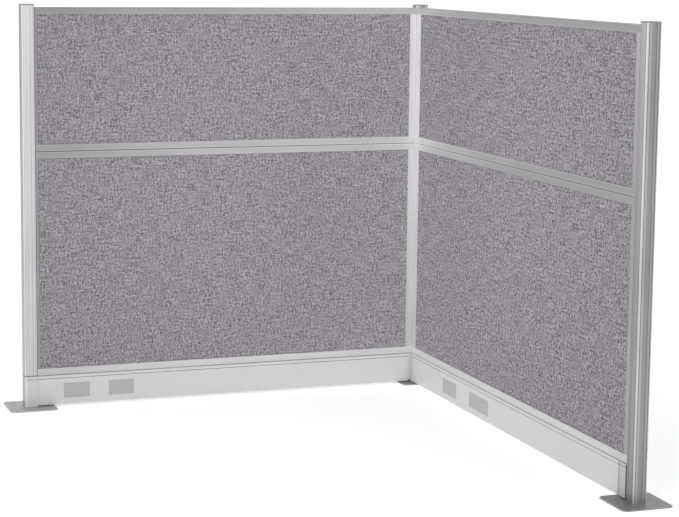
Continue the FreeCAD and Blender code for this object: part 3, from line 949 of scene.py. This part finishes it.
@dataclass
class FabricTiles:
    """The fabric-wrapped tiles of one run: thin padded forms, crowned by a cloth simulation."""

    run: Run
    fabric: HeatherWeave
    cell: float = 0.022
    edge_roll: float = 0.0028
    roll_segments: int = 3
    crown: float = 0.0016
    held_margin: float = 0.006
    held_depth: float = 0.0008
    frames: int = 14
    quality: int = 6
    mass: float = 0.3
    stretch_stiffness: float = 40.0
    bending_stiffness: float = 4.0
    pressure: float = 3.0
    fill: float = 0.9

    def turn(self, side: Side) -> float:
        """Return the angle about Z that turns a tile made facing -Y to its side of the run."""
        front = 0.0 if self.run is Run.LEFT else -math.pi / 2
        return front if side is Side.FRONT else front + math.pi

    def blank(self, width: float, thickness: float, height: float) -> bpy.types.Object:
        """Closed tile about the origin, facing -Y, with a rolled edge round its face.

        Args:
            width: its size along the run.
            thickness: its size across the run.
            height: its size upwards.

        Returns:
            The new object.
        """
        mesh = bmesh.new()
        bmesh.ops.create_grid(mesh, x_segments=round(width / self.cell),
                              y_segments=round(height / self.cell), size=0.5)
        bmesh.ops.scale(mesh, vec=(width, height, 1.0), verts=mesh.verts)
        bmesh.ops.rotate(mesh, matrix=Matrix.Rotation(math.pi / 2, 3, "X"), verts=mesh.verts)
        bmesh.ops.translate(mesh, vec=(0.0, -thickness / 2, 0.0), verts=mesh.verts)
        rim = [edge for edge in mesh.edges if edge.is_boundary]
        back = bmesh.ops.extrude_face_region(mesh, geom=mesh.faces[:])
        moved = [part for part in back["geom"] if isinstance(part, bmesh.types.BMVert)]
        bmesh.ops.translate(mesh, vec=(0.0, thickness, 0.0), verts=moved)
        bmesh.ops.bevel(mesh, geom=rim, offset=self.edge_roll, segments=self.roll_segments,
                        profile=0.5, affect="EDGES", material=-1)
        bmesh.ops.recalc_face_normals(mesh, faces=mesh.faces[:])
        data = bpy.data.meshes.new(self.run.value + "_tile_blank")
        mesh.to_mesh(data)
        mesh.free()
        return link(data.name, data)

    def pad(self, blank: bpy.types.Object) -> bpy.types.Modifier:
        """Add the cloth that the padding presses out.

        Args:
            blank: the flat tile, with its held points in a group.

        Returns:
            The modifier.
        """
        cloth = blank.modifiers.new("padding", "CLOTH")
        cloth.settings.quality = self.quality
        cloth.settings.mass = self.mass
        cloth.settings.tension_stiffness = self.stretch_stiffness
        cloth.settings.compression_stiffness = self.stretch_stiffness
        cloth.settings.bending_stiffness = self.bending_stiffness
        cloth.settings.vertex_group_mass = "held"
        cloth.settings.use_pressure = True
        cloth.settings.uniform_pressure_force = self.pressure
        cloth.settings.effector_weights.gravity = 0.0
        cloth.point_cache.frame_start = 1
        cloth.point_cache.frame_end = self.frames
        return cloth

    def swell(self, blank: bpy.types.Object, size: Triple) -> None:
        """Let the padding press the fabric out between its held edges, and keep the crown.

        Args:
            blank: the flat tile.
            size: its width, thickness and height.
        """
        width, thickness, height = size
        points = blank.data.vertices
        held = [point.index for point in points
                if point.co.y > -thickness / 2 + self.held_depth
                or abs(point.co.x) > width / 2 - self.held_margin
                or abs(point.co.z) > height / 2 - self.held_margin]
        blank.vertex_groups.new(name="held").add(held, 1.0, "REPLACE")
        cloth = self.pad(blank)
        scene = bpy.context.scene
        for number in range(1, self.frames + 1):
            scene.frame_set(number)
        swollen = blank.evaluated_get(bpy.context.evaluated_depsgraph_get()).data.vertices
        rises = {index: points[index].co.y - swollen[index].co.y
                 for index in set(range(len(points))) - set(held)}
        highest = max(rises.values())
        LOG.info("%s tile swelled by %.1f mm at most", self.run.value, highest / MILLIMETRE)
        blank.modifiers.remove(cloth)
        for index, rise in rises.items():
            points[index].co.y -= max(0.0, rise) * self.crown / highest
        scene.frame_set(1)

    def tile(self, level: Level, side: Side, blank: bpy.types.Object,
             material: bpy.types.Material) -> None:
        """Place a copy of a finished tile for one CAD node.

        Args:
            level: the frame that it hangs on.
            side: the side that it faces.
            blank: the crowned tile about the origin.
            material: its fabric.
        """
        name = f"{self.run.value}_{level.value}_{side.value}"
        low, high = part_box(name + "_tile")
        data = blank.data.copy()
        turn = Matrix.Rotation(self.turn(side), 4, "Z")
        data.transform(Matrix.Translation((low + high) / 2) @ turn)
        data.shade_smooth()
        data.materials.append(material)
        tile = link(name + "_fabric", data)
        smooth = tile.modifiers.new("smooth", "SUBSURF")
        smooth.levels = smooth.render_levels = 1
        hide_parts(name + "_tile")
        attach(tile, PARTITION)
        LOG.info("built %s", tile.name)

    def build_all(self) -> None:
        """Build the run's four tiles, with one simulation for each size."""
        material = self.fabric.build()
        for level in Level:
            low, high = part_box(f"{self.run.value}_{level.value}_front_tile")
            size = high - low
            along, across = (size.x, size.y) if self.run is Run.LEFT else (size.y, size.x)
            blank = self.blank(along, across, size.z)
            self.swell(blank, (along, across, size.z))
            for side in Side:
                self.tile(level, side, blank, material)
            bpy.data.objects.remove(blank)


@dataclass
class Raceways:
    """Spines, covers, outlet plates and fixed pieces of both raceways."""

    outlets: tuple[int, ...] = (1, 2)
    paint: PaintedSheet = PaintedSheet("raceway_paint", grey(0.575))
    # the post cover's paint, with a painted highlight along its outer edge
    post_cover_paint: PaintedSheet = PaintedSheet("post_cover_paint", grey(0.575),
                                                  highlight_edge=1.5930)
    # a darker copy of the raceway paint with a painted shadow at its joint: painted shade
    end_paint: PaintedSheet = PaintedSheet("end_piece_paint", grey(0.46), joint=1.810)
    plate: MouldedPlastic = MouldedPlastic("outlet_plate_plastic", grey(0.40))
    # each run's strip and spine in its own tone, the right ones lighter: painted light in the
    # joint's shade
    left_strip: MouldedPlastic = MouldedPlastic("left_snap_strip_plastic", grey(0.45))
    right_strip: MouldedPlastic = MouldedPlastic("right_snap_strip_plastic", grey(0.70))
    left_spine: DrawnAluminium = DrawnAluminium("left_spine_aluminium", Lie.ALONG_X, grey(0.60),
                                                grey(0.60), roughness=0.42)
    right_spine: DrawnAluminium = DrawnAluminium("right_spine_aluminium", Lie.ALONG_Y, grey(0.82),
                                                 grey(0.82), roughness=0.42)
    filler: MouldedPlastic = MouldedPlastic("filler_plastic", grey(0.54))
    socket: MouldedPlastic = MouldedPlastic("socket_plastic", (0.62, 0.62, 0.60))

    def dress_all(self) -> None:
        """Dress every node of the raceways."""
        paint, plate = self.paint.build(), self.plate.build()
        post_cover_paint, end_paint = self.post_cover_paint.build(), self.end_paint.build()
        for run, strip, spine in ((Run.LEFT, self.left_strip, self.left_spine),
                                  (Run.RIGHT, self.right_strip, self.right_spine)):
            snap_strip = strip.build()
            dress(run.value + "_raceway_spine", spine.build())
            for side in Side:
                dress(f"{run.value}_{side.value}_cover", paint)
                dress(f"{run.value}_{side.value}_cover_strips", snap_strip)
            for number in self.outlets:
                dress(f"{run.value}_outlet_plate_{number}", plate)
        for side in Side:
            dress("left_post_cover_" + side.value, post_cover_paint)
            dress("right_end_piece_" + side.value, end_paint)
        dress("corner_fillers", self.filler.build())
        dress("socket_blocks", self.socket.build())


@dataclass(frozen=True)
class Softbox:
    """A square soft lamp, aimed at a target."""

    name: str
    place: Triple
    target: Triple
    size: float
    power: float


@dataclass
class Studio:
    """Pale floor, soft light and the camera at the photograph's angle."""

    image_width: int = 679
    image_height: int = 517
    sensor: float = 36.0
    focal_pixels: float = 1954.0
    axis_row: float = 220.0
    place: Triple = (-2.953, -7.233, 1.713)
    azimuth: float = 19.92
    pitch: float = 7.70
    roll: float = 0.64
    floor_size: float = 600.0
    floor_segments: int = 4
    floor_colour: Triple = (0.90, 0.90, 0.90)
    floor_mottle: float = 3.0
    floor_shade: float = 0.99
    floor_glow: float = 0.40
    horizon_light: float = 1.0
    zenith_light: float = 0.60
    softboxes: tuple[Softbox, ...] = (
        Softbox("key_light", (-5.2, -4.6, 4.2), (-0.7, -0.9, 0.7), size=3.4, power=85.0),
        Softbox("fill_light", (2.8, -6.0, 3.2), (-0.4, -0.6, 0.8), size=3.0, power=25.0),
    )
    corner_light_place: Triple = (-3.7, -4.9, 2.2)
    corner_light_target: Triple = (-0.05, 0.0, 0.66)
    corner_light_power: float = 560.0
    corner_light_beam: float = 26.0
    corner_light_size: float = 0.6

    def camera(self) -> None:
        """Create the camera."""
        azimuth, pitch, roll = map(math.radians, (self.azimuth, self.pitch, self.roll))
        forward = Vector((math.sin(azimuth) * math.cos(pitch), math.cos(azimuth) * math.cos(pitch),
                          -math.sin(pitch)))
        level = Vector((math.cos(azimuth), -math.sin(azimuth), 0.0))
        upright = level.cross(forward)
        right = level * math.cos(roll) + upright * math.sin(roll)
        up = upright * math.cos(roll) - level * math.sin(roll)
        data = bpy.data.cameras.new("camera")
        data.sensor_width = self.sensor
        data.lens = self.sensor * self.focal_pixels / self.image_width
        data.shift_y = (self.axis_row - self.image_height / 2) / self.image_width
        data.clip_end = self.floor_size * 2
        camera = link("camera", data)
        turn = Matrix((right, up, -forward)).transposed().to_4x4()
        camera.matrix_world = Matrix.Translation(self.place) @ turn
        bpy.context.scene.camera = camera

    def floor(self) -> None:
        """Lay the floor."""
        mesh = bmesh.new()
        bmesh.ops.create_grid(mesh, x_segments=self.floor_segments, y_segments=self.floor_segments,
                              size=self.floor_size / 2)
        data = bpy.data.meshes.new("floor")
        mesh.to_mesh(data)
        mesh.free()
        graph = Graph("floor_paper")
        paper = graph.noise(graph.place(), self.floor_mottle, detail=2.0)
        dull = shade(self.floor_colour, self.floor_shade)
        graph.set(Base_Color=graph.blend(paper, dull, self.floor_colour), Roughness=0.9,
                  Specular_IOR_Level=0.1, Emission_Color=WHITE, Emission_Strength=self.floor_glow)
        data.materials.append(graph.material)
        link("floor", data)

    def sky(self) -> None:
        """Surround the scene with a white that fades a little towards the zenith."""
        world = bpy.data.worlds.new("studio")
        world.use_nodes = True
        tree = world.node_tree
        direction = tree.nodes.new("ShaderNodeTexCoord").outputs["Generated"]
        split = tree.nodes.new("ShaderNodeSeparateXYZ")
        fade = tree.nodes.new("ShaderNodeMapRange")
        tree.links.new(direction, split.inputs[0])
        tree.links.new(split.outputs["Z"], fade.inputs["Value"])
        fade.inputs["To Min"].default_value = self.horizon_light
        fade.inputs["To Max"].default_value = self.zenith_light
        tree.links.new(fade.outputs["Result"], tree.nodes["Background"].inputs["Strength"])
        tree.nodes["Background"].inputs["Color"].default_value = WHITE
        bpy.context.scene.world = world

    def hang(self, data: bpy.types.Light, place: Triple, target: Triple) -> None:
        """Hang a lamp at a place, aimed at a target.

        Args:
            data: the lamp.
            place: where it hangs.
            target: what it is aimed at.
        """
        lamp = link(data.name, data)
        aim = (Vector(target) - Vector(place)).to_track_quat("-Z", "Y")
        lamp.matrix_world = Matrix.Translation(place) @ aim.to_matrix().to_4x4()

    def lights(self) -> None:
        """Hang the soft lamps, and one aimed into the corner."""
        for softbox in self.softboxes:
            data = bpy.data.lights.new(softbox.name, "AREA")
            data.size = softbox.size
            data.energy = softbox.power
            self.hang(data, softbox.place, softbox.target)
        data = bpy.data.lights.new("corner_light", "SPOT")
        data.energy = self.corner_light_power
        data.spot_size = math.radians(self.corner_light_beam)
        data.spot_blend = 1.0
        data.shadow_soft_size = self.corner_light_size
        self.hang(data, self.corner_light_place, self.corner_light_target)

    def set_up(self) -> None:
        """Set up the whole studio."""
        self.camera()
        self.floor()
        self.sky()
        self.lights()
        bpy.context.scene.view_settings.view_transform = "Standard"
        LOG.info("set up the studio")


def main() -> None:
    """Build and dress the sub-assemblies in order."""
    logging.basicConfig(level=logging.INFO, format="%(name)s: %(message)s")
    yarn = (0.292, 0.273, 0.298)
    Studio().set_up()
    SlottedPosts().dress_all()
    # tones and lip gains for each run: painted light and shade
    StackedFrames(Run.LEFT, reach=(0.05, 1.45), fade=1.0, top_tones=(0.50, 0.29),
                  middle_tones=(0.63, 0.32), bottom_tones=(0.66, 0.55),
                  corner_stile_tones=(0.56, 0.78), end_stile_tones=(0.30, 0.28),
                  top_lip_gain=1.05, middle_lip_gain=1.10, groove_lip_gain=1.07).dress_all()
    # corner_gain and far_gain: painted light along the run
    weave = HeatherWeave("left_panel_fabric", Lie.ALONG_X, yarn, fleck_length=1.15, contrast=0.52,
                         corner_gain=1.12, far_gain=0.975)
    FabricTiles(Run.LEFT, weave).build_all()
    StackedFrames(Run.RIGHT, reach=(0.0, 1.6), fade=3.0, top_tones=(0.56, 0.37),
                  middle_tones=(0.72, 0.40), bottom_tones=(0.72, 0.62),
                  corner_stile_tones=(0.56, 0.78), end_stile_tones=(0.33, 0.47),
                  top_lip_gain=1.18, middle_lip_gain=1.16, groove_lip_gain=1.15).dress_all()
    # corner_gain and far_gain: painted light along the run
    weave = HeatherWeave("right_panel_fabric", Lie.ALONG_Y, yarn, fleck_length=1.75, contrast=0.61,
                         corner_gain=1.075, far_gain=0.925)
    FabricTiles(Run.RIGHT, weave).build_all()
    dress("frame_seals", MattRubber("groove_rubber", grey(0.05)).build())
    Raceways().dress_all()


if __name__ == "__main__":
    main()
